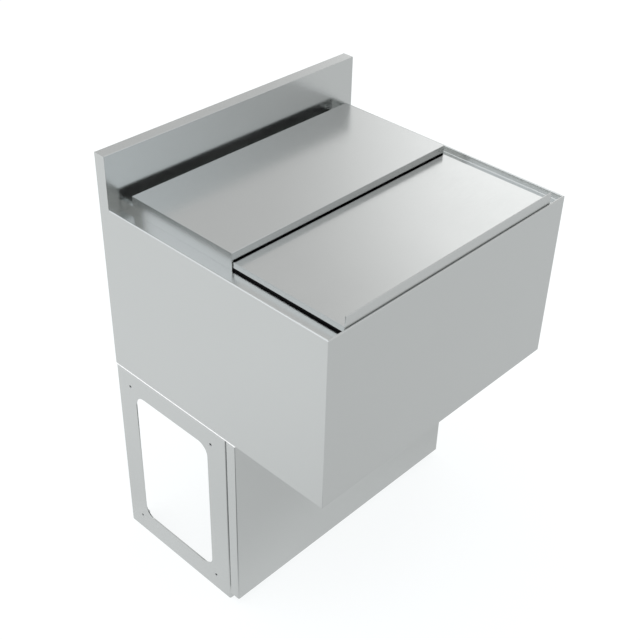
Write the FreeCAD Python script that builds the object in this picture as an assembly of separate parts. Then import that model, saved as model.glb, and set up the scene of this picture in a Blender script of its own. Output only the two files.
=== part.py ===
"""Underbar ice bin with a sliding lid, a raised rear cover and a panelled pedestal base.

Row frame: +Z up, +X to the right and +Y to the back, seen from the front. The origin is the
middle of the footprint of the whole object, on the floor. Every length is in millimetres.
"""
import FreeCAD, Part
import math
import os

Vector = FreeCAD.Vector
os.makedirs("parts", exist_ok=True)

# ---------------------------------------------------------------- driving dimensions
WIDTH = 610.0            # nominal 24 in module
DEPTH = 540.0            # nominal 21 1/4 in
HEIGHT = 864.0           # floor to the top of the splash, nominal 34 in
RIM = 762.0              # floor to the working rim, nominal 30 in
BOX_BOTTOM = 419.0       # underside of the bin body
SPLASH = 25.0            # thickness of the box-section backsplash
SHEET = 1.2              # body sheet
FRAME_SHEET = 2.0        # base frame sheet
LEDGE = 750.0            # top face of the ledge that carries the rear cover
BEND = 0.8               # outside radius of the visible sheet bends
FIT = 0.3                # gap between two sheets of the cabinet that only touch

HALF = WIDTH / 2
FRONT = -DEPTH / 2
BACK = DEPTH / 2
HEM = 2 * SHEET          # the sheet folded flat on itself
RIM_FOLD = 3.6           # width of the rim, the sheet folded round a small radius
SPLASH_FRONT = BACK - SPLASH
SPLASH_FLANGE = 8.0      # the splash's front skin runs on below the ledge
SPLASH_LAP = 800.0       # where the splash's back skin meets the rear panel
RETURN = 25.0            # inward flange along the bottom edges of the body
PAN_WALL = 20.0          # upturned flange of the bottom pan
PAN_HOLE = 32.0          # radius of the pan's hole for the drain

# ice well
WELL_HALF = 254.0
WELL_FRONT = -232.0
WELL_BACK = 218.0
WELL_CORNER = 30.0       # vertical corner radius
WELL_COVE = 20.0         # radius between walls and floor
MOUTH_ROLL = 3.0         # radius between walls and ledge
WELL_FLOOR_BACK = 478.0  # height of the floor at its back edge
FLOOR_FALL = 0.03        # rise per millimetre towards the front
DRAIN_Y = 140.0
DRAIN_SEAT = 474.0
DRAIN_DISH = 45.0        # radius of the flat dish round the drain

# rebates in the ledge beside the lid, where the runners stand
REBATE_FLOOR = 738.0
REBATE_IN = 250.0
REBATE_OUT = 270.0

# drain fittings: a sink drain for a 38 mm tail
DRAIN_FLANGE = 40.0
DRAIN_HOLE = 24.5        # radius of the liner's hole
BARREL_OUT = 24.0
BARREL_IN = 20.0
BARREL_END = DRAIN_SEAT - 36
TAIL_RADIUS = 19.05
TAIL_THICK = 19.35       # radius of the tail's upper end, inside the slip nut
TAIL_WALL = 1.5
TAIL_END = 340.0
TAIL_SHOULDER = 420.0
COLLAR_RADIUS = 23.0
GASKET = 3.2

# false bottom of the well
RACK_HALF = 232.0
RACK_FRONT = WELL_FRONT + WELL_COVE + 2
RACK_BACK = WELL_BACK - WELL_COVE - 2
RACK_TOP = 513.0
RACK_SHEET = 1.5
RACK_ROWS = 6
RACK_COLUMNS = 7
RACK_PITCH = 64.0
RACK_HOLE = 8.0          # radius of the drain holes in the plate
FOOT_X = 206.0
FOOT_SHELF = 14.0
FOOT_INSET = 25.0        # from the ends of the plate to the ends of the feet

# covers
COVER_HALF = 268.0
COVER_TOP = 783.0
COVER_FRONT = -24.0
COVER_BACK = 226.5
COVER_LIP = 768.6        # lower edge of the cover's short front face
COVER_SEAT = LEDGE + 0.35
LID_HALF = 265.0
LID_TOP = 766.0
LID_SKIRT = 755.5        # lower edge of the lid's side skirts
LID_FRONT = FRONT + RIM_FOLD + 0.45
LID_BACK = COVER_FRONT - 2.5
HANDLE_HALF = 263.5
HANDLE_TOP = 783.0
RUNNER_TOP = LID_SKIRT - 0.4
RUNNER_OUT = 266.0
RUNNER_IN = 257.5
RUNNER_RIDGE = 2.5       # width of the guide ridge inside the lid's skirt
RUNNER_RISE = 6.0        # height of the ridge above the running face
RUNNER_FRONT = FRONT + RIM_FOLD + FIT + SHEET + 0.5
RUNNER_BACK = SPLASH_FRONT - 1.0
RUNNER_SCREWS = (-220.0, -10.0, 200.0)
SCREW_X = 262.9
SCREW_SEAT = 752.4       # underside of the screw heads
SCREW_HEAD = 2.5
SCREW_SHANK = 1.5

# base
FRAME_DEPTH = 305.0
FRAME_FRONT = BACK - FRAME_DEPTH
FRAME_TOP = 416.0
FLANGE = 30.0
FRAME_BEND = 3.0
WINDOW = (15.0, 218.5, 51.0, 370.0)   # low and high Y, low and high Z
WINDOW_CORNER = 25.0
JOIN_Y = (5.0, 233.0)    # holes that bolt one module to the next
JOIN_Z = (36.0, 381.0)
JOIN_RADIUS = 3.5
PANEL_FACE = -60.0
PANEL_BOTTOM = 18.0
PANEL_BACK = FRAME_FRONT - 3.0
PANEL_BEND = 2.5
PANEL_RETURN = 14.0      # depth of the panel's stiffening hems
STUD_X = 289.0
STUD_Z = (70.0, 352.0)
STUD_TIP = FRAME_FRONT + 5.0
STUD_BALL = 4.2
CATCH_RADIUS = 7.0
CATCH_LIP = 1.4
RAIL = 34.0              # height of the cross rails
RAIL_DEPTH = 22.0
RAIL_LOW = 22.0          # lower edge of the bottom rail
RAIL_EAR = 8.0           # length of the tongues welded behind the frames' flanges
TAB = 26.0
TAB_X = 289.0
TAB_Y = (-20.0, 250.0)
BOLT_RADIUS = 5.0
BOLT_HOLE = 5.5
BOLT_ACROSS = 17.0       # across flats of bolt heads and nuts
SPACER_RADIUS = 12.0


# ---------------------------------------------------------------- helpers
def block(x0, x1, y0, y1, z0, z1):
    return Part.makeBox(x1 - x0, y1 - y0, z1 - z0, Vector(x0, y0, z0))


def rod(radius, z0, z1, x=0.0, y=0.0):
    return Part.makeCylinder(radius, z1 - z0, Vector(x, y, z0))


def rod_y(radius, y0, y1, x, z):
    return Part.makeCylinder(radius, y1 - y0, Vector(x, y0, z), Vector(0, 1, 0))


def rod_x(radius, x0, x1, y, z):
    return Part.makeCylinder(radius, x1 - x0, Vector(x0, y, z), Vector(1, 0, 0))


def tube(outer, inner, z0, z1, x=0.0, y=0.0):
    return rod(outer, z0, z1, x, y).cut(rod(inner, z0 - 1, z1 + 1, x, y))


def hexagon(across, z0, z1, x=0.0, y=0.0):
    corner = across / math.sqrt(3)
    points = [Vector(x + corner * math.cos(math.radians(60 * k)),
                     y + corner * math.sin(math.radians(60 * k)), z0) for k in range(7)]
    return Part.Face(Part.makePolygon(points)).extrude(Vector(0, 0, z1 - z0))


def fused(shapes):
    whole = shapes[0]
    for shape in shapes[1:]:
        whole = whole.fuse(shape)
    return whole.removeSplitter()


def near(value, target, slack=0.05):
    return abs(value - target) < slack


def edges_where(shape, test, along=None):
    """Edges all of whose vertices pass the test (x, y, z); along keeps one axis only."""
    axes = {"x": Vector(1, 0, 0), "y": Vector(0, 1, 0), "z": Vector(0, 0, 1)}
    found = []
    for edge in shape.Edges:
        ends = [vertex.Point for vertex in edge.Vertexes]
        if not ends or not all(test(end.x, end.y, end.z) for end in ends):
            continue
        if along is None:
            found.append(edge)
        elif len(ends) == 2:
            run = ends[1] - ends[0]
            if abs(run.dot(axes[along])) > 0.999 * run.Length > 0:
                found.append(edge)
    return found


def rounded(shape, radius, test, along=None):
    return shape.makeFillet(radius, edges_where(shape, test, along))


def rounded_block(x0, x1, y0, y1, z0, z1, radius):
    """A block whose vertical edges and top edges are rounded, as a pressed cover is."""
    solid = block(x0, x1, y0, y1, z0, z1)
    sides = [edge for edge in solid.Edges
             if not all(near(vertex.Point.z, z0) for vertex in edge.Vertexes)]
    return solid.makeFillet(radius, sides)


def open_tray(x0, x1, y0, y1, z0, z1, thick, radius):
    """A bent sheet cover: closed on top and at its four sides, open below."""
    inner_radius = max(radius - thick, 0.3)
    outside = rounded_block(x0, x1, y0, y1, z0, z1, radius)
    inside = rounded_block(x0 + thick, x1 - thick, y0 + thick, y1 - thick,
                           z0 - 5, z1 - thick, inner_radius)
    return outside.cut(inside)


def rounded_rectangle(x0, x1, y0, y1, radius, z):
    """Closed wire of a rounded rectangle in a horizontal plane."""
    solid = block(x0, x1, y0, y1, z, z + 1)
    upright = [edge for edge in solid.Edges if near(edge.Length, 1.0)]
    solid = solid.makeFillet(radius, upright)
    low = min(solid.Faces, key=lambda face: face.CenterOfMass.z)
    return low.OuterWire


def mirrored(shape):
    return shape.mirror(Vector(0, 0, 0), Vector(1, 0, 0))


def save(name, shape):
    solids = shape.Solids
    assert solids and all(solid.isValid() for solid in solids), name
    kept = solids[0] if len(solids) == 1 else Part.makeCompound(solids)
    kept.exportStep("parts/" + name + ".step")
    print(name, len(solids), "solid(s)", round(sum(s.Volume for s in solids) / 1000, 1), "cm3")


# ---------------------------------------------------------------- body shell
def corner_wedge(side):
    """Everything in front of the mitre plane of one front corner, side -1 is the left."""
    reach = 2 * DEPTH
    points = [Vector(side * HALF, FRONT, 0), Vector(side * (HALF - reach), FRONT + reach, 0),
              Vector(side * (HALF - reach), FRONT - 50, 0), Vector(side * HALF, FRONT - 50, 0),
              Vector(side * HALF, FRONT, 0)]
    return Part.Face(Part.makePolygon(points)).extrude(Vector(0, 0, HEIGHT))


def corner_sliver(side):
    """The sharp outer corner that the ground weld takes away."""
    x = side * (HALF - BEND)
    y = FRONT + BEND
    square = block(min(x, side * (HALF + 1)), max(x, side * (HALF + 1)), FRONT - 1, y, 0, HEIGHT)
    return square.cut(rod(BEND, -1, HEIGHT + 1, x, y))


def rim_bar(x0, x1, y0, y1, along):
    """Folded rim with its round top, from the ledge upwards."""
    return rounded(block(x0, x1, y0, y1, LEDGE, RIM), RIM_FOLD / 2 - 0.1,
                   lambda x, y, z: near(z, RIM), along)


def side_panel():
    """Left side: one sheet whose outline also closes the end of the splash."""
    shoulder = RIM - RIM_FOLD
    outline = [(FRONT, BOX_BOTTOM), (BACK, BOX_BOTTOM), (BACK, HEIGHT), (SPLASH_FRONT, HEIGHT),
               (SPLASH_FRONT, shoulder), (FRONT, shoulder), (FRONT, BOX_BOTTOM)]
    wire = Part.makePolygon([Vector(-HALF, y, z) for y, z in outline])
    sheet = Part.Face(wire).extrude(Vector(SHEET, 0, 0))
    foot = block(-HALF + SHEET, -HALF + RETURN, FRONT, BACK - SHEET, BOX_BOTTOM,
                 BOX_BOTTOM + SHEET)
    panel = fused([sheet, rim_bar(-HALF, -HALF + RIM_FOLD, FRONT, SPLASH_FRONT, "y"), foot])
    panel = rounded(panel, BEND, lambda x, y, z: near(z, BOX_BOTTOM) and near(x, -HALF), "y")
    for x, y in bolt_places():
        panel = panel.cut(rod(BOLT_HOLE, BOX_BOTTOM - 1, BOX_BOTTOM + 5, x, y))
    return panel.cut(corner_wedge(-1)).cut(corner_sliver(-1))


def front_apron():
    """Plain front, mitred into the side panels at both corners."""
    sheet = block(-HALF, HALF, FRONT, FRONT + SHEET, BOX_BOTTOM, RIM - RIM_FOLD)
    foot = block(-HALF, HALF, FRONT + SHEET, FRONT + RETURN, BOX_BOTTOM, BOX_BOTTOM + SHEET)
    apron = fused([sheet, rim_bar(-HALF, HALF, FRONT, FRONT + RIM_FOLD, "x"), foot])
    apron = rounded(apron, BEND, lambda x, y, z: near(z, BOX_BOTTOM) and near(y, FRONT), "x")
    for side in (-1, 1):
        apron = apron.common(corner_wedge(side)).cut(corner_sliver(side))
    return apron


def backsplash():
    """Box section: front skin down to the ledge, level top and a short back skin."""
    inner = HALF - SHEET
    outside = block(-inner, inner, SPLASH_FRONT, BACK, LEDGE - SPLASH_FLANGE, HEIGHT)
    outside = rounded(outside, BEND, lambda x, y, z: near(z, HEIGHT), "x")
    hollow = block(-HALF, HALF, SPLASH_FRONT + SHEET, BACK - SHEET, 0, HEIGHT - SHEET)
    below_lap = block(-HALF, HALF, BACK - SHEET - 1, BACK + 1, 0, SPLASH_LAP)
    return outside.cut(hollow).cut(below_lap)


def rear_panel():
    inner = HALF - SHEET
    sheet = block(-inner, inner, BACK - SHEET, BACK, BOX_BOTTOM, SPLASH_LAP)
    foot = block(-HALF + RETURN + 1, HALF - RETURN - 1, BACK - RETURN, BACK - SHEET,
                 BOX_BOTTOM, BOX_BOTTOM + SHEET)
    return fused([sheet, foot])


def bottom_pan():
    """Tray that closes the body below, with the holes for the drain and the base bolts."""
    edge = HALF - SHEET - FIT
    front = FRONT + SHEET + FIT
    back = BACK - SHEET - FIT
    low = BOX_BOTTOM + SHEET
    outside = block(-edge, edge, front, back, low, low + PAN_WALL)
    inside = block(-edge + SHEET, edge - SHEET, front + SHEET, back - SHEET, low + SHEET,
                   low + PAN_WALL + 1)
    pan = outside.cut(inside).cut(rod(PAN_HOLE, low - 1, low + 5, 0, DRAIN_Y))
    for x, y in bolt_places():
        pan = pan.cut(rod(BOLT_HOLE, low - 1, low + 5, x, y))
    return pan


# ---------------------------------------------------------------- ice well
def floor_height(y):
    return WELL_FLOOR_BACK + (WELL_BACK - y) * FLOOR_FALL


def sloped_wedge(offset, top):
    """Space above the falling floor, lowered by the offset."""
    y0 = WELL_FRONT - 100
    y1 = WELL_BACK + 100
    points = [Vector(-HALF, y0, floor_height(y0) - offset),
              Vector(-HALF, y1, floor_height(y1) - offset),
              Vector(-HALF, y1, top), Vector(-HALF, y0, top),
              Vector(-HALF, y0, floor_height(y0) - offset)]
    return Part.Face(Part.makePolygon(points)).extrude(Vector(WIDTH, 0, 0))


def well_volume(offset, top):
    """Coved and drained hollow of the well; offset grows it for its outer skin."""
    wire = rounded_rectangle(-WELL_HALF - offset, WELL_HALF + offset, WELL_FRONT - offset,
                             WELL_BACK + offset, WELL_CORNER + offset, 400)
    column = Part.Face(wire).extrude(Vector(0, 0, top - 400))
    volume = column.common(sloped_wedge(offset, top))
    limit = floor_height(WELL_FRONT) + 5
    volume = rounded(volume, WELL_COVE + offset, lambda x, y, z: z < limit)
    dish = rod(DRAIN_DISH + offset, DRAIN_SEAT - offset, floor_height(DRAIN_Y) + 6, 0, DRAIN_Y)
    return volume.fuse(dish).removeSplitter()


def rebate(side, grow, top):
    """Space of one rebate beside the lid; grow is the sheet round it."""
    xs = sorted((side * (REBATE_IN - grow), side * (REBATE_OUT + grow)))
    front = FRONT + RIM_FOLD + FIT + SHEET
    return block(xs[0], xs[1], front - grow, COVER_FRONT + grow, REBATE_FLOOR - grow, top)


def mouth_edges(shape, z, grow):
    """Edges of the well's mouth at one height, without the parts that the rebates cut away."""
    return [edge for edge in shape.Edges
            if all(near(vertex.Point.z, z) for vertex in edge.Vertexes)
            and abs(edge.CenterOfMass.x) < WELL_HALF + grow + 0.1
            and WELL_FRONT - grow - 0.1 < edge.CenterOfMass.y < WELL_BACK + grow + 0.1
            and (abs(edge.CenterOfMass.x) < REBATE_IN - grow - 0.1
                 or edge.CenterOfMass.y > COVER_FRONT + grow + 0.1)]


def ice_liner():
    """One pressing: ledges, straight walls, coved corners and a floor that falls to the drain."""
    edge = HALF - RIM_FOLD - FIT
    flange = block(-edge, edge, FRONT + RIM_FOLD + FIT, SPLASH_FRONT - 0.2, LEDGE - SHEET, LEDGE)
    solid = flange.fuse(well_volume(SHEET, LEDGE - SHEET))
    for side in (-1, 1):
        solid = solid.fuse(rebate(side, SHEET, LEDGE))
    solid = solid.removeSplitter()
    shell = solid.cut(well_volume(0, LEDGE + 1))
    for side in (-1, 1):
        shell = shell.cut(rebate(side, 0, LEDGE + 1))
    shell = shell.makeFillet(MOUTH_ROLL - SHEET, mouth_edges(shell, LEDGE, 0))
    return shell.cut(rod(DRAIN_HOLE, 400, DRAIN_SEAT + 1, 0, DRAIN_Y))


def foam_insulation():
    """Foamed-in block between the liner and the shell."""
    gap = 2 * FIT
    low = BOX_BOTTOM + SHEET + PAN_WALL
    body = block(-HALF + RIM_FOLD + gap, HALF - RIM_FOLD - gap, FRONT + RIM_FOLD + gap,
                 BACK - SHEET - gap, low + gap, LEDGE - SPLASH_FLANGE - gap)
    body = body.cut(well_volume(SHEET + gap, LEDGE + 20))
    for side in (-1, 1):
        body = body.cut(rebate(side, SHEET + gap, LEDGE))
    return body.cut(rod(DRAIN_DISH + 8, 400, DRAIN_SEAT + 10, 0, DRAIN_Y))


def ice_rack():
    """Flat perforated false bottom."""
    low = RACK_TOP - RACK_SHEET
    plate = block(-RACK_HALF, RACK_HALF, RACK_FRONT, RACK_BACK, low, RACK_TOP)
    plate = rounded(plate, WELL_CORNER - 8, lambda x, y, z: True, "z")
    for column in range(RACK_COLUMNS):
        for row in range(RACK_ROWS):
            x = (column - (RACK_COLUMNS - 1) / 2) * RACK_PITCH
            y = (RACK_FRONT + RACK_BACK) / 2 + (row - (RACK_ROWS - 1) / 2) * RACK_PITCH
            plate = plate.cut(rod(RACK_HOLE, low - 1, RACK_TOP + 1, x, y))
    return plate


def rack_feet():
    """Angle strips welded under the false bottom, cut to the fall of the floor."""
    high = RACK_TOP - RACK_SHEET
    low = WELL_FLOOR_BACK - WELL_COVE
    front = RACK_FRONT + FOOT_INSET
    back = RACK_BACK - FOOT_INSET
    feet = []
    for side in (-1, 1):
        leg = sorted((side * FOOT_X, side * (FOOT_X + SHEET)))
        shelf = sorted((side * FOOT_X, side * (FOOT_X + FOOT_SHELF)))
        angle = fused([block(leg[0], leg[1], front, back, low, high),
                       block(shelf[0], shelf[1], front, back, high - SHEET, high)])
        feet.append(angle.common(sloped_wedge(-FIT - 0.1, RACK_TOP)))
    return Part.makeCompound(feet)


# ---------------------------------------------------------------- drain
def drain_body():
    flange = tube(DRAIN_FLANGE, BARREL_IN, DRAIN_SEAT, DRAIN_SEAT + 2, 0, DRAIN_Y)
    barrel = tube(BARREL_OUT, BARREL_IN, BARREL_END, DRAIN_SEAT + 2, 0, DRAIN_Y)
    shoulder = tube(BARREL_IN + 1, BARREL_IN - 4, DRAIN_SEAT - 8, DRAIN_SEAT - 5, 0, DRAIN_Y)
    return fused([flange, barrel, shoulder])


def drain_strainer():
    """Perforated plate that drops on the shoulder inside the drain body."""
    top = DRAIN_SEAT - 3
    plate = rod(BARREL_IN - 0.5, top - 2, top, 0, DRAIN_Y)
    for count, ring, hole in ((8, 12.5, 3.0), (4, 5.0, 2.0)):
        for k in range(count):
            angle = 2 * math.pi * k / count
            plate = plate.cut(rod(hole, top - 5, top + 5, ring * math.cos(angle),
                                  DRAIN_Y + ring * math.sin(angle)))
    return plate


def drain_gasket():
    high = DRAIN_SEAT - SHEET
    return tube(36, BARREL_OUT + 0.2, high - GASKET, high, 0, DRAIN_Y)


def drain_locknut():
    high = DRAIN_SEAT - SHEET - GASKET
    ring = hexagon(62, high - 9, high, 0, DRAIN_Y)
    return ring.cut(rod(BARREL_OUT + 0.05, high - 20, high + 1, 0, DRAIN_Y))


def drain_tailpiece():
    """Straight tail of 38 mm tube, swaged at its upper end, with a collar for the slip nut."""
    bore = TAIL_RADIUS - TAIL_WALL
    pipe = tube(TAIL_RADIUS, bore, TAIL_END, TAIL_SHOULDER, 0, DRAIN_Y)
    upper = tube(TAIL_THICK, bore, TAIL_SHOULDER, BARREL_END, 0, DRAIN_Y)
    collar = tube(COLLAR_RADIUS, bore, BARREL_END - 3, BARREL_END, 0, DRAIN_Y)
    return fused([pipe, upper, collar])


def drain_slip_nut():
    """Nut over the collar, threaded on the drain body above it."""
    body = hexagon(56, BARREL_END - 8, BARREL_END + 9, 0, DRAIN_Y)
    body = body.cut(rod(BARREL_OUT + 0.05, BARREL_END - 3.1, BARREL_END + 20, 0, DRAIN_Y))
    return body.cut(rod(TAIL_THICK + 0.35, BARREL_END - 20, BARREL_END, 0, DRAIN_Y))


# ---------------------------------------------------------------- covers
def screw_foot(y):
    return REBATE_FLOOR if y < COVER_FRONT else LEDGE


def lid_runner():
    """Left runner: black bar along the well with a guide ridge inside the lid's skirt.

    Beside the lid it stands in the rebate, and under the rear cover on the ledge."""
    step = COVER_FRONT - FIT
    ridge_top = RUNNER_TOP + RUNNER_RISE
    deep = block(-RUNNER_OUT, -RUNNER_IN, RUNNER_FRONT, step, REBATE_FLOOR, RUNNER_TOP)
    flat = block(-RUNNER_OUT, -RUNNER_IN, RUNNER_FRONT, RUNNER_BACK, LEDGE, RUNNER_TOP)
    bar = fused([deep, flat])
    for y in RUNNER_SCREWS:
        bar = bar.cut(rod(SCREW_HEAD + 0.2, SCREW_SEAT, RUNNER_TOP + 1, -SCREW_X, y))
        bar = bar.cut(rod(SCREW_SHANK + 0.1, screw_foot(y) - 1, SCREW_SEAT + 1, -SCREW_X, y))
    ridge = block(-RUNNER_IN - RUNNER_RIDGE, -RUNNER_IN, RUNNER_FRONT, RUNNER_BACK, RUNNER_TOP,
                  ridge_top)
    ridge = rounded(ridge, 1.0, lambda x, y, z: near(z, ridge_top), "y")
    return Part.makeCompound([bar, ridge])


def runner_screws():
    """Cheese-head screws down through the runners."""
    screws = []
    for side in (-1, 1):
        for y in RUNNER_SCREWS:
            head = rod(SCREW_HEAD, SCREW_SEAT, SCREW_SEAT + 2.3, side * SCREW_X, y)
            shank = rod(SCREW_SHANK, screw_foot(y), SCREW_SEAT + 0.1, side * SCREW_X, y)
            screws.append(head.fuse(shank).removeSplitter())
    return Part.makeCompound(screws)


def sliding_lid():
    """Flat front lid: skirts at the sides and back, and a hemmed upstand to push along the front."""
    tray = open_tray(-LID_HALF, LID_HALF, LID_FRONT, LID_BACK, LID_SKIRT, LID_TOP, SHEET, BEND)
    front_skirt = block(-LID_HALF + SHEET, LID_HALF - SHEET, LID_FRONT - 1, LID_FRONT + SHEET + 0.5,
                        LID_SKIRT - 1, LID_TOP - SHEET)
    tray = tray.cut(front_skirt)
    for side in (-1, 1):
        xs = sorted((side * (RUNNER_IN - 2), side * (LID_HALF - SHEET)))
        tray = tray.cut(block(xs[0], xs[1], LID_BACK - SHEET - 1, LID_BACK + 1, LID_SKIRT - 1,
                              LID_TOP - SHEET))
    handle = block(-HANDLE_HALF, HANDLE_HALF, LID_FRONT, LID_FRONT + HEM, LID_TOP - SHEET, HANDLE_TOP)
    handle = rounded(handle, HEM / 2 - 0.1, lambda x, y, z: near(z, HANDLE_TOP), "x")
    return fused([tray, handle])


def rear_cover():
    """Raised cover that stands on the ledges; the lid slides in under its short front face."""
    tray = open_tray(-COVER_HALF, COVER_HALF, COVER_FRONT, COVER_BACK, COVER_SEAT, COVER_TOP,
                     SHEET, BEND)
    mouth = block(-COVER_HALF + SHEET, COVER_HALF - SHEET, COVER_FRONT - 1, COVER_FRONT + SHEET + 1,
                  COVER_SEAT - 1, COVER_LIP)
    cover = tray.cut(mouth)
    for side in (-1, 1):
        xs = sorted((side * (RUNNER_IN - 2), side * (COVER_HALF - SHEET)))
        cover = cover.cut(block(xs[0], xs[1], COVER_BACK - SHEET - 1, COVER_BACK + 1,
                                COVER_SEAT - 1, RUNNER_TOP + RUNNER_RISE + 2))
    return cover


# ---------------------------------------------------------------- base
def bolt_places():
    return [(side * TAB_X, y) for side in (-1, 1) for y in TAB_Y]


def channel_wall(x0, x1, y0, y1, z0, z1, thick, radius):
    """Upright sheet with two returns to +X: a C in plan with rounded bends."""
    outside = block(x0, x1, y0, y1, z0, z1)
    outside = rounded(outside, radius, lambda x, y, z: near(x, x0), "z")
    inside = block(x0 + thick, x1 + 5, y0 + thick, y1 - thick, z0 - 1, z1 + 1)
    inside = rounded(inside, max(radius - thick, 0.3), lambda x, y, z: near(x, x0 + thick), "z")
    return outside.cut(inside)


def frame_window():
    y0, y1, z0, z1 = WINDOW
    opening = block(-HALF - 5, -HALF + 10, y0, y1, z0, z1)
    along_x = [edge for edge in opening.Edges if near(edge.Length, 15.0)]
    return opening.makeFillet(WINDOW_CORNER, along_x)


def side_frame():
    """Left frame: windowed web, front and rear flanges, a foot flange and two bolting tabs."""
    web = channel_wall(-HALF, -HALF + FLANGE, FRAME_FRONT, BACK, 0, FRAME_TOP, FRAME_SHEET,
                       FRAME_BEND)
    foot = block(-HALF + FRAME_SHEET, -HALF + FLANGE, FRAME_FRONT + 1, BACK - 1, 0, FRAME_SHEET)
    frame = web.fuse(foot)
    for y in TAB_Y:
        tab = block(-HALF + 1, -HALF + FLANGE, y - TAB / 2, y + TAB / 2,
                    FRAME_TOP - FRAME_SHEET, FRAME_TOP)
        frame = frame.fuse(tab)
    frame = frame.removeSplitter().cut(frame_window())
    for y in TAB_Y:
        frame = frame.cut(rod(BOLT_HOLE, FRAME_TOP - 10, FRAME_TOP + 5, -TAB_X, y))
    for y in JOIN_Y:
        for z in JOIN_Z:
            frame = frame.cut(rod_x(JOIN_RADIUS, -HALF - 5, -HALF + 8, y, z))
    for z in STUD_Z:
        frame = frame.cut(rod_y(CATCH_RADIUS, FRAME_FRONT - 5, FRAME_FRONT + 8, -STUD_X, z))
    return frame


def cross_rail(y0, y1, z0, z1, web_at_front):
    """Light channel between the two frames, open towards the inside of the base."""
    x = HALF - FLANGE
    rail = block(-x, x, y0, y1, z0, z1)
    if web_at_front:
        hollow = block(-HALF, HALF, y0 + SHEET, y1 + 5, z0 + SHEET, z1 - SHEET)
    else:
        hollow = block(-HALF, HALF, y0 - 5, y1 - SHEET, z0 + SHEET, z1 - SHEET)
    if web_at_front:
        ear_y = y0 + FRAME_SHEET + 0.2
    else:
        ear_y = y1 - FRAME_SHEET - SHEET - 0.2
    pieces = [rail.cut(hollow)]
    for side in (-1, 1):
        xs = sorted((side * x, side * (x + RAIL_EAR)))
        pieces.append(block(xs[0], xs[1], ear_y, ear_y + SHEET, z0, z1))
    return fused(pieces)


def base_spacers():
    """Washers that hold the body clear of the frames, so that a line of light shows there."""
    return Part.makeCompound([tube(SPACER_RADIUS, BOLT_HOLE, FRAME_TOP, BOX_BOTTOM, x, y)
                              for x, y in bolt_places()])


def base_bolts():
    bolts = []
    for x, y in bolt_places():
        head_low = FRAME_TOP - FRAME_SHEET - 6.5
        head = hexagon(BOLT_ACROSS, head_low, FRAME_TOP - FRAME_SHEET, x, y)
        shank = rod(BOLT_RADIUS, head_low, BOX_BOTTOM + 14, x, y)
        bolts.append(head.fuse(shank).removeSplitter())
    return Part.makeCompound(bolts)


def weld_nuts():
    low = BOX_BOTTOM + 2 * SHEET
    nuts = []
    for x, y in bolt_places():
        nut = hexagon(BOLT_ACROSS, low, low + 8, x, y)
        nuts.append(nut.cut(rod(BOLT_RADIUS + 0.05, low - 1, low + 12, x, y)))
    return Part.makeCompound(nuts)


def base_front_panel():
    """Access panel: plain face, returns at both sides and stiffening hems at top and bottom."""
    back = PANEL_BACK
    outside = block(-HALF, HALF, PANEL_FACE, back, PANEL_BOTTOM, FRAME_TOP)
    outside = rounded(outside, PANEL_BEND, lambda x, y, z: near(y, PANEL_FACE), "z")
    inside = block(-HALF + SHEET, HALF - SHEET, PANEL_FACE + SHEET, back + 5,
                   PANEL_BOTTOM + SHEET, FRAME_TOP - SHEET)
    trim = block(-HALF + SHEET, HALF - SHEET, PANEL_FACE + PANEL_RETURN, back + 5, 0,
                 FRAME_TOP + 1)
    return outside.cut(inside).cut(trim)


def panel_studs():
    """Ball studs on the back of the panel."""
    studs = []
    for side in (-1, 1):
        for z in STUD_Z:
            x = side * STUD_X
            foot = rod_y(9, PANEL_FACE + SHEET, PANEL_FACE + SHEET + 2.5, x, z)
            shank = rod_y(3, PANEL_FACE + SHEET, STUD_TIP, x, z)
            ball = Part.makeSphere(STUD_BALL, Vector(x, STUD_TIP, z))
            studs.append(foot.fuse(shank).fuse(ball).removeSplitter())
    return Part.makeCompound(studs)


def panel_catches():
    """Black grommets in the frames' front flanges that the ball studs press into."""
    catches = []
    for side in (-1, 1):
        for z in STUD_Z:
            x = side * STUD_X
            collar = rod_y(CATCH_RADIUS + 2.5, FRAME_FRONT - CATCH_LIP, FRAME_FRONT, x, z)
            barrel = rod_y(CATCH_RADIUS, FRAME_FRONT - CATCH_LIP, FRAME_FRONT + 5, x, z)
            bore = rod_y(STUD_BALL + 0.6, FRAME_FRONT - 5, FRAME_FRONT + 10, x, z)
            catches.append(collar.fuse(barrel).removeSplitter().cut(bore))
    return Part.makeCompound(catches)


def build():
    left = side_panel()
    frame = side_frame()
    runner = lid_runner()
    save("left_side_panel", left)
    save("right_side_panel", mirrored(left))
    save("front_apron", front_apron())
    save("backsplash", backsplash())
    save("rear_panel", rear_panel())
    save("bottom_pan", bottom_pan())
    save("ice_liner", ice_liner())
    save("foam_insulation", foam_insulation())
    save("ice_rack", ice_rack())
    save("rack_feet", rack_feet())
    save("drain_body", drain_body())
    save("drain_strainer", drain_strainer())
    save("drain_gasket", drain_gasket())
    save("drain_locknut", drain_locknut())
    save("drain_tailpiece", drain_tailpiece())
    save("drain_slip_nut", drain_slip_nut())
    save("lid_runner_left", runner)
    save("lid_runner_right", mirrored(runner))
    save("runner_screws", runner_screws())
    save("sliding_lid", sliding_lid())
    save("rear_cover", rear_cover())
    save("left_frame", frame)
    save("right_frame", mirrored(frame))
    rail_top = FRAME_TOP - FRAME_SHEET - 1
    front_rail_y = (FRAME_FRONT, FRAME_FRONT + RAIL_DEPTH)
    save("front_top_rail", cross_rail(*front_rail_y, rail_top - RAIL, rail_top, True))
    save("front_bottom_rail", cross_rail(*front_rail_y, RAIL_LOW, RAIL_LOW + RAIL, True))
    save("rear_top_rail", cross_rail(BACK - RAIL_DEPTH, BACK, rail_top - RAIL, rail_top, False))
    save("base_spacers", base_spacers())
    save("base_bolts", base_bolts())
    save("weld_nuts", weld_nuts())
    save("base_front_panel", base_front_panel())
    save("panel_studs", panel_studs())
    save("panel_catches", panel_catches())


build()
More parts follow.
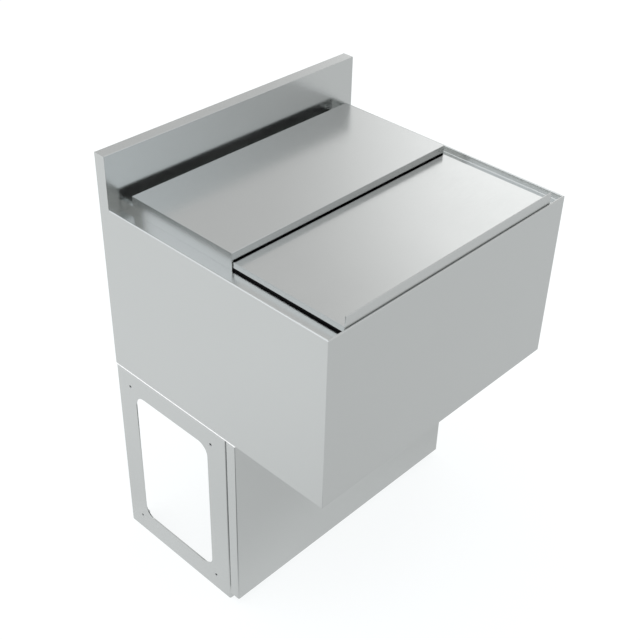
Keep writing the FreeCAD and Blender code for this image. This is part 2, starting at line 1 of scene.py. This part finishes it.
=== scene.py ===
"""Satin stainless underbar ice bin in a plain pale studio.

Metres, in the row frame: +Z up, +X to the right and +Y to the back, seen from the front.
"""
import math

import bmesh
import bpy
from mathutils import Matrix, Vector


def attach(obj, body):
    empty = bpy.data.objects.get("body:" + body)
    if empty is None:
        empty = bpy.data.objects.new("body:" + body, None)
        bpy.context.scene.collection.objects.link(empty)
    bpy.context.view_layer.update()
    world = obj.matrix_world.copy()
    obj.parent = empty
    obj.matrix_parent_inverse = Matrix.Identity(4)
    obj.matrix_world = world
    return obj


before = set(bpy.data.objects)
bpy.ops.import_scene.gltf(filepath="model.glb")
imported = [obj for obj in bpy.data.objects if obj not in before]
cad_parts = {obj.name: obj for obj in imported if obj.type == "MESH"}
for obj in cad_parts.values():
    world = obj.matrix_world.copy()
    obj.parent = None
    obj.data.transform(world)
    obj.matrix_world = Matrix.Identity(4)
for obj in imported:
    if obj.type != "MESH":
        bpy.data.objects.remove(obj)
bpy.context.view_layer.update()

# ---------------------------------------------------------------- planes of the object
# body
HALF = 0.305                     # half the width
FRONT = -0.27
BACK = 0.27
RIM_FOLD = 0.0036                # thickness of the rim, folded double
SPLASH_FRONT = 0.245
LEDGE = 0.75                     # top of the ledges round the well
REBATE_OUT = 0.27                # outer wall of the rebates beside the lid
BOX_BOTTOM = 0.419

# base
FRAME_TOP = 0.416
PANEL_FACE = -0.06
JOIN_Y = (0.005, 0.233)          # joining holes of the side frames
JOIN_Z = (0.036, 0.381)

# runners
RUNNER_IN = 0.2575
RUNNER_OUT = 0.266

# rear cover
COVER_HALF = 0.268
COVER_FRONT = -0.024
COVER_BACK = 0.2265
COVER_SEAT = 0.75035             # underside of its skirts
COVER_LIP = 0.7686               # underside of its front lip
COVER_TOP = 0.783

# lid
LID_HALF = 0.265
LID_FRONT = -0.26595
LID_BACK = -0.0265
LID_SKIRT = 0.7555               # underside of its skirts
LID_TOP = 0.766

# ---------------------------------------------------------------- sizes of the fine pieces
SKIN = 0.00002                   # how far a fold stands proud of its sheet
AIR = 0.00003                    # left above and below the glowing strip of painted light in the base joint
COVE = 0.0012                    # radius of the fillet weld round the ledge
COVE_STEPS = 6
COVE_ROOT = (0.0004, 0.0002)     # how far the weld reaches into the rim and the ledge
RETURN_TOP = 0.7608              # of the apron's return
CAP_TOP = 0.7616                 # of the runners' end caps
CAP_OVERHANG = 0.0005            # of the end caps past the runners' sides
ROLL = 0.0016                    # width and height of the ledge's rolled edge
GLOW_STRIP_DEPTHS = (0.0003, 0.0036)   # outer and inner face of the glowing strip of painted light, inside the base
HEM = 0.0009                     # thickness of the outer layer of the lid's skirts
LID_END = 0.0012                 # how far the lid's cross pieces stop short of its sides
LID_RETURN_FOOT = 0.7615
SHADE_STRIP_INSETS = (0.0014, 0.0001)        # sides of the black strip of painted shade, in front of the lid's rear edge
FOOT = 0.0011                    # width of the cover's turned-in foot
FOLD = 0.0009                    # width and height of the cover's side folds
EAR_FOOT = 0.005                 # height of the cover's ears above the ledge
# blind insert: half-section as (distance inside the frame's face, radius)
INSERT = ((0.0002, 0.0034), (0.0002, 0.0030), (0.0008, 0.0026), (0.014, 0.0026), (0.014, 0.0),
          (0.0155, 0.0), (0.0155, 0.0044), (0.0024, 0.0044), (0.0024, 0.0034))
TURN_STEPS = 24                  # facets round an insert

# ---------------------------------------------------------------- finishes
STEEL = (0.648, 0.662, 0.656)
STEEL_ROUGHNESS = 0.22
GRAIN_SPREAD = 0.035             # roughness either way along the grain
CLOUD_SPREAD = 0.015             # roughness either way in the cloudy polish
GRAIN_SCALE = 2600
CLOUD_SCALE = 7
WAVE_SCALE = 2.2
GRAIN_STRETCH = {"x": (0.03, 1, 1), "y": (1, 0.03, 1), "z": (1, 1, 0.03)}
GRAIN_BUMPS = (0.000002, 0.22)   # depth in metres and strength, as of the other bumps
WAVE_BUMPS = (0.0004, 0.4)
BLASTED_BELOW = LEDGE - 0.002    # height in the well where the blasted finish starts
BLAST_FADE = 0.004               # height over which it starts
BLAST_ROUGHNESS = 0.28           # added where the steel is blasted
BLAST_METAL = 0.8                # share of metal left there
MOTTLE_SCALE = 300               # of small metal parts
MOTTLE_BUMPS = (0.00004, 0.3)
SCUFF_SCALE = 60                 # of moulded parts
SCUFF_STRETCH = (1, 0.1, 1)
SCUFF_SPREAD = 0.06              # roughness either way
PEBBLE_BUMPS = (0.00015, 0.35)
EVEN = (1, 1, 1)                 # no stretch
MIDDLE = (0.3, 0.7)              # the part of a noise's range that is drawn out

# ---------------------------------------------------------------- camera and studio
CAMERA_AT = (-1.24985, -1.12740, 1.72936)
CAMERA_RIGHT = (0.692113, -0.721379, 0.024333)
CAMERA_UP = (0.411412, 0.421972, 0.807886)
CAMERA_BACK = (-0.593060, -0.549138, 0.588836)
SENSOR = 36                      # millimetres
LENS = 62.262                    # millimetres
FAR = 100                        # end of the camera's view

WHITE = (1, 1, 1)
SKY = 0.64                       # plain level of the sky
HORIZON = (0.2, 0.35, 0.36)      # brighter band: sines where it starts and ends to fade, level
# broad lights: direction, degrees where the light starts and ends to fade, level, tint
GLOWS = [
    ((0.8211, 0.4005, 0.4067), 7, 18.5, 0.8, WHITE),
    ((0, 0, 1), 16, 44, 0.7, WHITE),
    ((-0.539, 0.642, 0.545), 24, 62, 0.5, (0.92, 0.98, 1.06)),
    ((0.296, -0.814, 0.5), 8, 26, 0.5, (0.84, 0.98, 1.1)),
]
# darker patch of the sky: direction, degrees where it starts and ends to fade, share left
SKY_SHADE = ((0.71, -0.55, 0.45), 6, 16, 0.75)

FLOOR_SIZE = 60
FLOOR_COLOUR = 0.8               # as it lights the object
FLOOR_SHADED = 0.2               # share of the white floor that takes the object's shadow
FLOOR_GLOW = 0.86                # the rest of it
FLOOR_TINT = (0.975, 0.995, 1.0)
# level of the mirrored floor along a direction: where it starts and ends to change, both levels
FLOOR_RUN = (-0.7071, 0.7071, 0)
FLOOR_FALLOFF = (-0.3, 1.0, 0.50, 0.68)
# patches of the mirrored floor: place, turn, size, where they fade, levels inside and outside
FLOOR_PATCHES = [
    ((-0.56, -0.29, 0), 0.722, (0.36, 0.26, 1), (0.45, 1.0), (0.15, 1.0)),
    ((0.0, 0.1, 0), 0.0, (0.5, 0.35, 1), (0.6, 1.0), (1.16, 1.0)),
]


# ---------------------------------------------------------------- node helpers
def fresh_tree(owner):
    """Empty node tree of a material or a world."""
    owner.use_nodes = True
    tree = owner.node_tree
    tree.nodes.clear()
    return tree


def add(tree, kind, **values):
    """New node; keyword values go to its input sockets by name, with _ for blanks."""
    node = tree.nodes.new(kind)
    for key, value in values.items():
        node.inputs[key.replace("_", " ")].default_value = value
    return node


def feed(tree, value, socket):
    """Sets a socket to a number, or links it to the output or the node given."""
    if isinstance(value, (int, float)):
        socket.default_value = value
    elif isinstance(value, bpy.types.Node):
        tree.links.new(value.outputs[0], socket)
    else:
        tree.links.new(value, socket)


def maths(tree, operation, *values):
    """Result of a sum on numbers or sockets."""
    node = tree.nodes.new("ShaderNodeMath")
    node.operation = operation
    for socket, value in zip(node.inputs, values):
        feed(tree, value, socket)
    return node.outputs[0]


def ramp(tree, value, low, high, out_low, out_high):
    """Smooth step from out_low to out_high as value runs from low to high."""
    node = tree.nodes.new("ShaderNodeMapRange")
    node.interpolation_type = "SMOOTHSTEP"
    numbers = {"From Min": low, "From Max": high, "To Min": out_low, "To Max": out_high}
    for key, number in numbers.items():
        node.inputs[key].default_value = number
    feed(tree, value, node.inputs["Value"])
    return node.outputs["Result"]


def mixed(tree, factor, first, second):
    """Blend of two numbers or sockets."""
    node = tree.nodes.new("ShaderNodeMix")
    node.data_type = "FLOAT"
    for name, value in (("Factor", factor), ("A", first), ("B", second)):
        feed(tree, value, node.inputs[name])
    return node.outputs["Result"]


def angle_from(tree, direction, towards):
    """Angle in radians between two directions, one of them fixed."""
    dot = add(tree, "ShaderNodeVectorMath")
    dot.operation = "DOT_PRODUCT"
    dot.inputs[1].default_value = Vector(towards).normalized()
    feed(tree, direction, dot.inputs[0])
    return maths(tree, "ARCCOSINE", dot.outputs["Value"])


def summed(tree, first, second):
    """Sum of two shaders."""
    both = tree.nodes.new("ShaderNodeAddShader")
    feed(tree, first, both.inputs[0])
    feed(tree, second, both.inputs[1])
    return both


def noise(tree, coordinates, stretch, scale, detail=3.0):
    """Noise over the row's coordinates, drawn out along the axes with small stretch values."""
    mapping = add(tree, "ShaderNodeMapping", Scale=stretch)
    feed(tree, coordinates, mapping.inputs["Vector"])
    texture = add(tree, "ShaderNodeTexNoise", Scale=scale, Detail=detail)
    feed(tree, mapping, texture.inputs["Vector"])
    return texture.outputs["Fac"]


def principled(name):
    """New material with its tree, its shader and the object's coordinates."""
    material = bpy.data.materials.new(name)
    tree = fresh_tree(material)
    shader = tree.nodes.new("ShaderNodeBsdfPrincipled")
    out = tree.nodes.new("ShaderNodeOutputMaterial")
    feed(tree, shader, out.inputs["Surface"])
    place = tree.nodes.new("ShaderNodeTexCoord").outputs["Object"]
    return material, tree, shader, place


def bumped(tree, shader, heights):
    """Chain of bumps, each (height socket, distance in metres, strength)."""
    normal = None
    for height, distance, strength in heights:
        bump = add(tree, "ShaderNodeBump", Distance=distance, Strength=strength)
        feed(tree, height, bump.inputs["Height"])
        if normal is not None:
            feed(tree, normal, bump.inputs["Normal"])
        normal = bump.outputs["Normal"]
    feed(tree, normal, shader.inputs["Normal"])


# ---------------------------------------------------------------- materials
def satin_steel(name, grain, blasted=None):
    """Sheet steel with a fine grain along one axis, a cloudy polish and a slight waviness.

    blasted is a height below which the finish is coarse and dull, as in the well."""
    material, tree, shader, place = principled(name)
    fine = noise(tree, place, GRAIN_STRETCH[grain], GRAIN_SCALE, 2)
    cloudy = noise(tree, place, EVEN, CLOUD_SCALE)
    wavy = noise(tree, place, EVEN, WAVE_SCALE, 1)
    shader.inputs["Base Color"].default_value = (*STEEL, 1)
    shader.inputs["Metallic"].default_value = 1.0
    grainy = ramp(tree, fine, *MIDDLE, -GRAIN_SPREAD, GRAIN_SPREAD)
    patchy = ramp(tree, cloudy, *MIDDLE, STEEL_ROUGHNESS - CLOUD_SPREAD,
                  STEEL_ROUGHNESS + CLOUD_SPREAD)
    rough = maths(tree, "ADD", grainy, patchy)
    if blasted is not None:
        split = tree.nodes.new("ShaderNodeSeparateXYZ")
        feed(tree, place, split.inputs[0])
        coarse = ramp(tree, split.outputs["Z"], blasted - BLAST_FADE, blasted, 1.0, 0.0)
        rough = maths(tree, "ADD", rough, maths(tree, "MULTIPLY", coarse, BLAST_ROUGHNESS))
        feed(tree, ramp(tree, coarse, 0.0, 1.0, 1.0, BLAST_METAL), shader.inputs["Metallic"])
    feed(tree, rough, shader.inputs["Roughness"])
    bumped(tree, shader, [(wavy, *WAVE_BUMPS), (fine, *GRAIN_BUMPS)])
    return material


def plain_metal(name, colour, roughness):
    """Turned, plated or cast small part with a fine uneven polish."""
    material, tree, shader, place = principled(name)
    shader.inputs["Base Color"].default_value = (*colour, 1)
    shader.inputs["Metallic"].default_value = 1.0
    mottled = noise(tree, place, EVEN, MOTTLE_SCALE)
    feed(tree, ramp(tree, mottled, *MIDDLE, roughness * 0.8, roughness * 1.2),
         shader.inputs["Roughness"])
    bumped(tree, shader, [(mottled, *MOTTLE_BUMPS)])
    return material


def moulded(name, colour, roughness, scale=900, sheen=0.5, glow=0.0):
    """Moulded plastic, rubber or foam with a pebbled surface and faint scuffs; glow makes it shine
    as painted light.
    """
    material, tree, shader, place = principled(name)
    shader.inputs["Specular IOR Level"].default_value = sheen
    # glow is painted light: only the strip in the base joint uses it
    shader.inputs["Emission Color"].default_value = (*WHITE, 1)
    shader.inputs["Emission Strength"].default_value = glow
    pebble = noise(tree, place, EVEN, scale, 2)
    scuffs = noise(tree, place, SCUFF_STRETCH, SCUFF_SCALE, 4)
    scuffed = [min(1, c * 1.3 + 0.003) for c in colour]
    mix = tree.nodes.new("ShaderNodeMix")
    mix.data_type = "RGBA"
    mix.inputs["A"].default_value = (*colour, 1)
    mix.inputs["B"].default_value = (*scuffed, 1)
    feed(tree, ramp(tree, scuffs, 0.45, 0.8, 0, 1), mix.inputs["Factor"])
    feed(tree, mix.outputs["Result"], shader.inputs["Base Color"])
    feed(tree, ramp(tree, scuffs, 0.4, 0.7, roughness - SCUFF_SPREAD, roughness + SCUFF_SPREAD),
         shader.inputs["Roughness"])
    bumped(tree, shader, [(pebble, *PEBBLE_BUMPS)])
    return material


MATERIALS = {
    "steel_x": satin_steel("steel_grain_x", "x"),
    "steel_y": satin_steel("steel_grain_y", "y"),
    "steel_z": satin_steel("steel_grain_z", "z"),
    "steel_well": satin_steel("steel_well", "x", blasted=BLASTED_BELOW),
    "chrome": plain_metal("polished_tube", (0.75, 0.75, 0.76), 0.08),
    "brass": plain_metal("turned_brass", (0.71, 0.56, 0.26), 0.3),
    "zinc": plain_metal("zinc_plate", (0.58, 0.59, 0.6), 0.35),
    # black runners; the same black also paints shade on the strip at the lid's rear edge
    "black_plastic": moulded("black_runner_and_shade_strip", (0.004, 0.004, 0.0045), 0.6, sheen=0.12),
    "rubber": moulded("black_rubber", (0.02, 0.02, 0.02), 0.6),
    "foam": moulded("cream_foam", (0.7, 0.62, 0.4), 0.9, 500),
    # white strip in the base joint with a faint glow: painted light for the light through the
    # joint
    "joint_glow_strip": moulded("pale_glowing_joint_strip", (0.97, 0.97, 0.97), 0.5, 700, glow=0.18),
}

DRESS = {
    "left_side_panel": "steel_y", "right_side_panel": "steel_y", "front_apron": "steel_x",
    "backsplash": "steel_x", "rear_panel": "steel_x", "bottom_pan": "steel_x",
    "ice_liner": "steel_well", "foam_insulation": "foam", "ice_rack": "steel_well",
    "rack_feet": "steel_well", "drain_body": "chrome", "drain_strainer": "steel_x",
    "drain_gasket": "rubber", "drain_locknut": "brass", "drain_tailpiece": "chrome",
    "drain_slip_nut": "chrome", "lid_runner_left": "black_plastic",
    "lid_runner_right": "black_plastic", "runner_screws": "zinc", "sliding_lid": "steel_x",
    "rear_cover": "steel_x", "left_frame": "steel_z", "right_frame": "steel_z",
    "front_top_rail": "steel_x", "front_bottom_rail": "steel_x", "rear_top_rail": "steel_x",
    "base_spacers": "zinc", "base_bolts": "zinc", "weld_nuts": "zinc",
    "base_front_panel": "steel_x", "panel_studs": "zinc", "panel_catches": "rubber",
}

for node, finish in DRESS.items():
    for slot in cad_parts[node].material_slots:
        slot.material = MATERIALS[finish]


# ---------------------------------------------------------------- mesh helpers
def finished(name, mesh, material, body):
    """Named piece with outward normals, riding on a body."""
    bmesh.ops.remove_doubles(mesh, verts=mesh.verts, dist=1e-6)
    bmesh.ops.recalc_face_normals(mesh, faces=mesh.faces)
    data = bpy.data.meshes.new(name)
    mesh.to_mesh(data)
    mesh.free()
    data.materials.append(MATERIALS[material])
    piece = bpy.data.objects.new(name, data)
    bpy.context.scene.collection.objects.link(piece)
    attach(piece, body)


def box(mesh, xs, ys, zs):
    """Closed box from the two ends of its sides."""
    low, high = (Vector(corner) for corner in zip(xs, ys, zs))
    place = Matrix.Translation((low + high) / 2) @ Matrix.Diagonal((*(high - low), 1))
    bmesh.ops.create_cube(mesh, size=1, matrix=place)


def cross_bar(name, half, ys, zs, material, body):
    """Box across the object, from -half to half."""
    mesh = bmesh.new()
    box(mesh, (-half, half), ys, zs)
    finished(name, mesh, material, body)


def side_boxes(name, xs, ys, zs, material, body):
    """Pair of boxes, one on each side, from their distances to the middle."""
    mesh = bmesh.new()
    for side in (-1, 1):
        box(mesh, sorted(side * x for x in xs), ys, zs)
    finished(name, mesh, material, body)


def side_strips(name, points, ends, material, body):
    """Pair of straight strips along Y, one on each side, from a profile of (x, z) points."""
    mesh = bmesh.new()
    for side in (-1, 1):
        rings = [[mesh.verts.new((side * x, y, z)) for x, z in points] for y in ends]
        sheathe(mesh, rings)
    finished(name, mesh, material, body)


def sheathe(mesh, rings):
    """Closed skin over a row of rings of vertices, with a face on both ends."""
    for first, second in zip(rings, rings[1:]):
        for a in range(len(first)):
            b = (a + 1) % len(first)
            mesh.faces.new((first[a], first[b], second[b], second[a]))
    mesh.faces.new(rings[0])
    mesh.faces.new(rings[-1])


def mitre(before, here, after):
    """Offset to the left of a level path at one of its corners."""
    normals = []
    for start, end in ((before, here), (here, after)):
        if start is not None and end is not None:
            run = (Vector(end) - Vector(start)).normalized()
            normals.append(Vector((-run.y, run.x)))
    total = normals[0] + normals[-1]
    return total / (1 + normals[0].dot(normals[-1]))


def mitred_strip(name, path, profile, material, body):
    """Profile of (left, height) points swept along a level path with mitred corners."""
    mesh = bmesh.new()
    rings = []
    for before, here, after in zip([None, *path], path, [*path[1:], None]):
        offset = mitre(before, here, after)
        rings.append([mesh.verts.new((here[0] + offset.x * left, here[1] + offset.y * left, z))
                      for left, z in profile])
    sheathe(mesh, rings)
    finished(name, mesh, material, body)


def turned(mesh, side, y, z, section):
    """Solid of revolution about an axis along X, inwards from a frame's outer face."""
    loops = []
    for depth, radius in section:
        steps = 1 if radius == 0 else TURN_STEPS
        angles = [math.tau * k / TURN_STEPS for k in range(steps)]
        loops.append([mesh.verts.new((side * (HALF - depth), y + radius * math.cos(angle),
                                      z + radius * math.sin(angle))) for angle in angles])
    for first, second in zip(loops, loops[1:] + loops[:1]):
        if len(first) == 1 and len(second) == 1:
            continue
        for a in range(TURN_STEPS):
            b = (a + 1) % TURN_STEPS
            corners = [first[a % len(first)], first[b % len(first)],
                       second[b % len(second)], second[a % len(second)]]
            mesh.faces.new(list(dict.fromkeys(corners)))


# ---------------------------------------------------------------- fine pieces of the body
def ledge_cove():
    """Small ground fillet weld round the ledge, where it meets the rim."""
    into_rim, into_ledge = COVE_ROOT
    points = [(-into_rim, LEDGE - into_ledge), (-into_rim, LEDGE + COVE)]
    for k in range(1, COVE_STEPS + 1):
        angle = math.pi / 2 * k / COVE_STEPS
        points.append((COVE * (1 - math.cos(angle)), LEDGE + COVE * (1 - math.sin(angle))))
    x, y = HALF - RIM_FOLD, FRONT + RIM_FOLD
    path = [(-x, SPLASH_FRONT), (-x, y), (x, y), (x, SPLASH_FRONT)]
    mitred_strip("ledge_cove", path, points, "steel_y", "cabinet")


def apron_return():
    """Turned-down return of the apron's rim, in the gap before the lid's front edge."""
    half = LID_HALF + 0.001
    ys = (FRONT + RIM_FOLD - 0.0001, LID_FRONT - 0.00007)    # let into the rim, clear of the lid
    zs = (LEDGE + 0.002, RETURN_TOP)
    cross_bar("apron_return", half, ys, zs, "steel_x", "cabinet")


def ledge_lips():
    """Rolled edge of the ledge where it drops into the rebate beside the lid."""
    out, high = REBATE_OUT + 0.0001, LEDGE - SKIN
    bevel = 0.0004
    points = [(out, high - ROLL), (out, high), (out - ROLL + bevel, high),
              (out - ROLL, high - bevel), (out - ROLL, high - ROLL)]
    ends = (FRONT + 0.006, COVER_FRONT - 0.0002)             # from the apron to the cover
    side_strips("ledge_lips", points, ends, "steel_y", "cabinet")


def runner_caps():
    """Steel end caps of the runners, in the gap between the cover and the splash."""
    xs = (RUNNER_IN - CAP_OVERHANG, RUNNER_OUT + CAP_OVERHANG)
    ys = (COVER_BACK + 0.0004, SPLASH_FRONT - 0.0002)        # clear of the cover and the splash
    zs = (LEDGE + 0.00005, CAP_TOP)
    side_boxes("runner_caps", xs, ys, zs, "steel_y", "cabinet")


def base_joint_glow_strip():
    """Pale, faintly glowing strip in the joint between the base and the body: painted light
    standing in for the bright line of light through the joint.
    """
    outer, inner = GLOW_STRIP_DEPTHS
    low, high = FRAME_TOP + AIR, BOX_BOTTOM - AIR
    points = [(outer, low), (outer, high), (inner, high), (inner, low)]
    path = [(-HALF, BACK), (-HALF, PANEL_FACE), (HALF, PANEL_FACE), (HALF, BACK)]
    mitred_strip("base_joint_glow_strip", path, points, "joint_glow_strip", "cabinet")


def join_inserts():
    """Blind threaded inserts in the joining holes of both frames."""
    mesh = bmesh.new()
    for side in (-1, 1):
        for y in JOIN_Y:
            for z in JOIN_Z:
                turned(mesh, side, y, z, INSERT)
    finished("join_inserts", mesh, "zinc", "cabinet")


# ---------------------------------------------------------------- fine pieces of the lid
def lid_hems():
    """The outer layer of the lid's side skirts, with a crisp fold along the top."""
    low, high = LID_SKIRT - 0.00032, LID_TOP + SKIN
    out, inside = LID_HALF + HEM, LID_HALF - HEM
    points = [(LID_HALF - 0.0001, low), (out, low), (out, high), (inside, high),
              (inside, high - 0.0005)]
    ends = (LID_FRONT + 0.0006, COVER_FRONT - 0.0008)        # short of the cover
    side_strips("lid_hems", points, ends, "steel_x", "lid")


def lid_shade_strip():
    """Black strip along the lid's rear edge, which meets the cover's lip: painted shade that
    widens the dark gap below the lip.
    """
    ys = [LID_BACK - inset for inset in SHADE_STRIP_INSETS]
    zs = (LID_TOP - 0.0005, LID_TOP + 0.00006)               # let into the sheet, just proud of it
    # black strip of painted shade
    cross_bar("lid_shade_strip", LID_HALF - LID_END, ys, zs, "black_plastic", "lid")


def lid_return():
    """Short return down the lid's front edge, above the ridges of the runners."""
    ys = (LID_FRONT + SKIN, LID_FRONT + 0.0012)
    zs = (LID_RETURN_FOOT, LID_TOP - 0.00115)                # up to the underside of the lid
    cross_bar("lid_return", LID_HALF - LID_END, ys, zs, "steel_x", "lid")


# ---------------------------------------------------------------- fine pieces of the rear cover
def cover_foot():
    """Turned-in lower edge of the cover's skirts, which rests on the ledge."""
    low, high = LEDGE + 0.00004, COVER_SEAT + 0.0002
    out, inside = COVER_HALF - SKIN, COVER_HALF - FOOT
    points = [(out, low), (out, high), (inside, high), (inside, low)]
    ends = (COVER_FRONT + 0.0005, COVER_BACK - 0.001)
    side_strips("cover_foot", points, ends, "steel_y", "rear_cover_body")


def cover_folds():
    """Crisp folds along the cover's two upper side edges."""
    out, high = COVER_HALF + SKIN, COVER_TOP + SKIN
    thick, inset = 0.0005, 0.0004
    points = [(out - FOLD, high), (out, high), (out, high - FOLD),
              (out - thick, high - FOLD), (out - FOLD, high - thick)]
    ends = (COVER_FRONT + inset, COVER_BACK - inset)
    side_strips("cover_folds", points, ends, "steel_x", "rear_cover_body")


def cover_ears():
    """Small ears turned in from the front ends of the cover's skirts, below its lip."""
    xs = (LID_HALF + 0.0011, COVER_HALF - 0.001)             # clear of the lid's hems
    ys = (COVER_FRONT, COVER_FRONT + 0.0012)
    zs = (LEDGE + EAR_FOOT, COVER_LIP)
    side_boxes("cover_ears", xs, ys, zs, "steel_z", "rear_cover_body")


ledge_cove()
apron_return()
lid_hems()
lid_shade_strip()
lid_return()
ledge_lips()
runner_caps()
cover_foot()
cover_folds()
cover_ears()
base_joint_glow_strip()
join_inserts()


# ---------------------------------------------------------------- studio
def patch(tree, place, location, turn, size, fade, levels):
    """Level of an oval patch on the floor, soft at its edge."""
    mapping = add(tree, "ShaderNodeMapping", Location=location, Rotation=(0, 0, turn), Scale=size)
    mapping.vector_type = "TEXTURE"
    feed(tree, place, mapping.inputs["Vector"])
    reach = add(tree, "ShaderNodeVectorMath")
    reach.operation = "LENGTH"
    feed(tree, mapping, reach.inputs[0])
    return ramp(tree, reach.outputs["Value"], *fade, *levels)


def mirrored_floor(tree):
    """Level of the floor in the object's reflections: it falls off to the front, with patches."""
    place = tree.nodes.new("ShaderNodeTexCoord").outputs["Object"]
    along = add(tree, "ShaderNodeVectorMath")
    along.operation = "DOT_PRODUCT"
    along.inputs[1].default_value = FLOOR_RUN
    feed(tree, place, along.inputs[0])
    level = ramp(tree, along.outputs["Value"], *FLOOR_FALLOFF)
    for values in FLOOR_PATCHES:
        level = maths(tree, "MULTIPLY", level, patch(tree, place, *values))
    return level


def pale_floor():
    """White floor that keeps the object's shadow, and is less bright where it is mirrored."""
    bpy.ops.mesh.primitive_plane_add(size=FLOOR_SIZE)
    floor = bpy.context.object
    floor.name = "floor"
    material = bpy.data.materials.new("pale_floor")
    tree = fresh_tree(material)
    path = tree.nodes.new("ShaderNodeLightPath")
    mirrored = maths(tree, "MAXIMUM", path.outputs["Is Glossy Ray"],
                     path.outputs["Is Transmission Ray"])
    seen = maths(tree, "MAXIMUM", path.outputs["Is Camera Ray"], mirrored)
    level = mixed(tree, mirrored, FLOOR_GLOW, mirrored_floor(tree))
    diffuse = tree.nodes.new("ShaderNodeBsdfDiffuse")
    feed(tree, mixed(tree, seen, FLOOR_COLOUR, FLOOR_SHADED), diffuse.inputs["Color"])
    lift = add(tree, "ShaderNodeEmission", Color=(*FLOOR_TINT, 1))
    feed(tree, maths(tree, "MULTIPLY", seen, level), lift.inputs["Strength"])
    out = tree.nodes.new("ShaderNodeOutputMaterial")
    feed(tree, summed(tree, diffuse, lift), out.inputs["Surface"])
    floor.data.materials.append(material)


def studio_world():
    """Soft sky of the studio: a plain level, a bright horizon, a dim patch and broad lights."""
    world = bpy.context.scene.world or bpy.data.worlds.new("studio")
    bpy.context.scene.world = world
    tree = fresh_tree(world)
    direction = tree.nodes.new("ShaderNodeTexCoord").outputs["Generated"]
    split = tree.nodes.new("ShaderNodeSeparateXYZ")
    feed(tree, direction, split.inputs[0])
    low, high, level = HORIZON
    plain = ramp(tree, split.outputs["Z"], low, high, SKY + level, SKY)
    towards, inner, outer, share = SKY_SHADE
    shade = ramp(tree, angle_from(tree, direction, towards), math.radians(inner),
                 math.radians(outer), share, 1.0)
    sky = add(tree, "ShaderNodeBackground", Color=(*WHITE, 1))
    feed(tree, maths(tree, "MULTIPLY", plain, shade), sky.inputs["Strength"])
    for towards, inner, outer, amount, tint in GLOWS:
        angle = angle_from(tree, direction, towards)
        glow = add(tree, "ShaderNodeBackground", Color=(*tint, 1))
        feed(tree, ramp(tree, angle, math.radians(inner), math.radians(outer), amount, 0.0),
             glow.inputs["Strength"])
        sky = summed(tree, sky, glow)
    out = tree.nodes.new("ShaderNodeOutputWorld")
    feed(tree, sky, out.inputs["Surface"])


def add_camera():
    """Camera at the photograph's place and angle."""
    data = bpy.data.cameras.new("camera")
    data.sensor_width = SENSOR
    data.lens = LENS
    data.clip_end = FAR
    camera = bpy.data.objects.new("camera", data)
    turn = Matrix((CAMERA_RIGHT, CAMERA_UP, CAMERA_BACK)).transposed().to_4x4()
    camera.matrix_world = Matrix.Translation(CAMERA_AT) @ turn
    bpy.context.scene.collection.objects.link(camera)
    bpy.context.scene.camera = camera


pale_floor()
studio_world()
add_camera()
bpy.context.scene.view_settings.view_transform = "Standard"
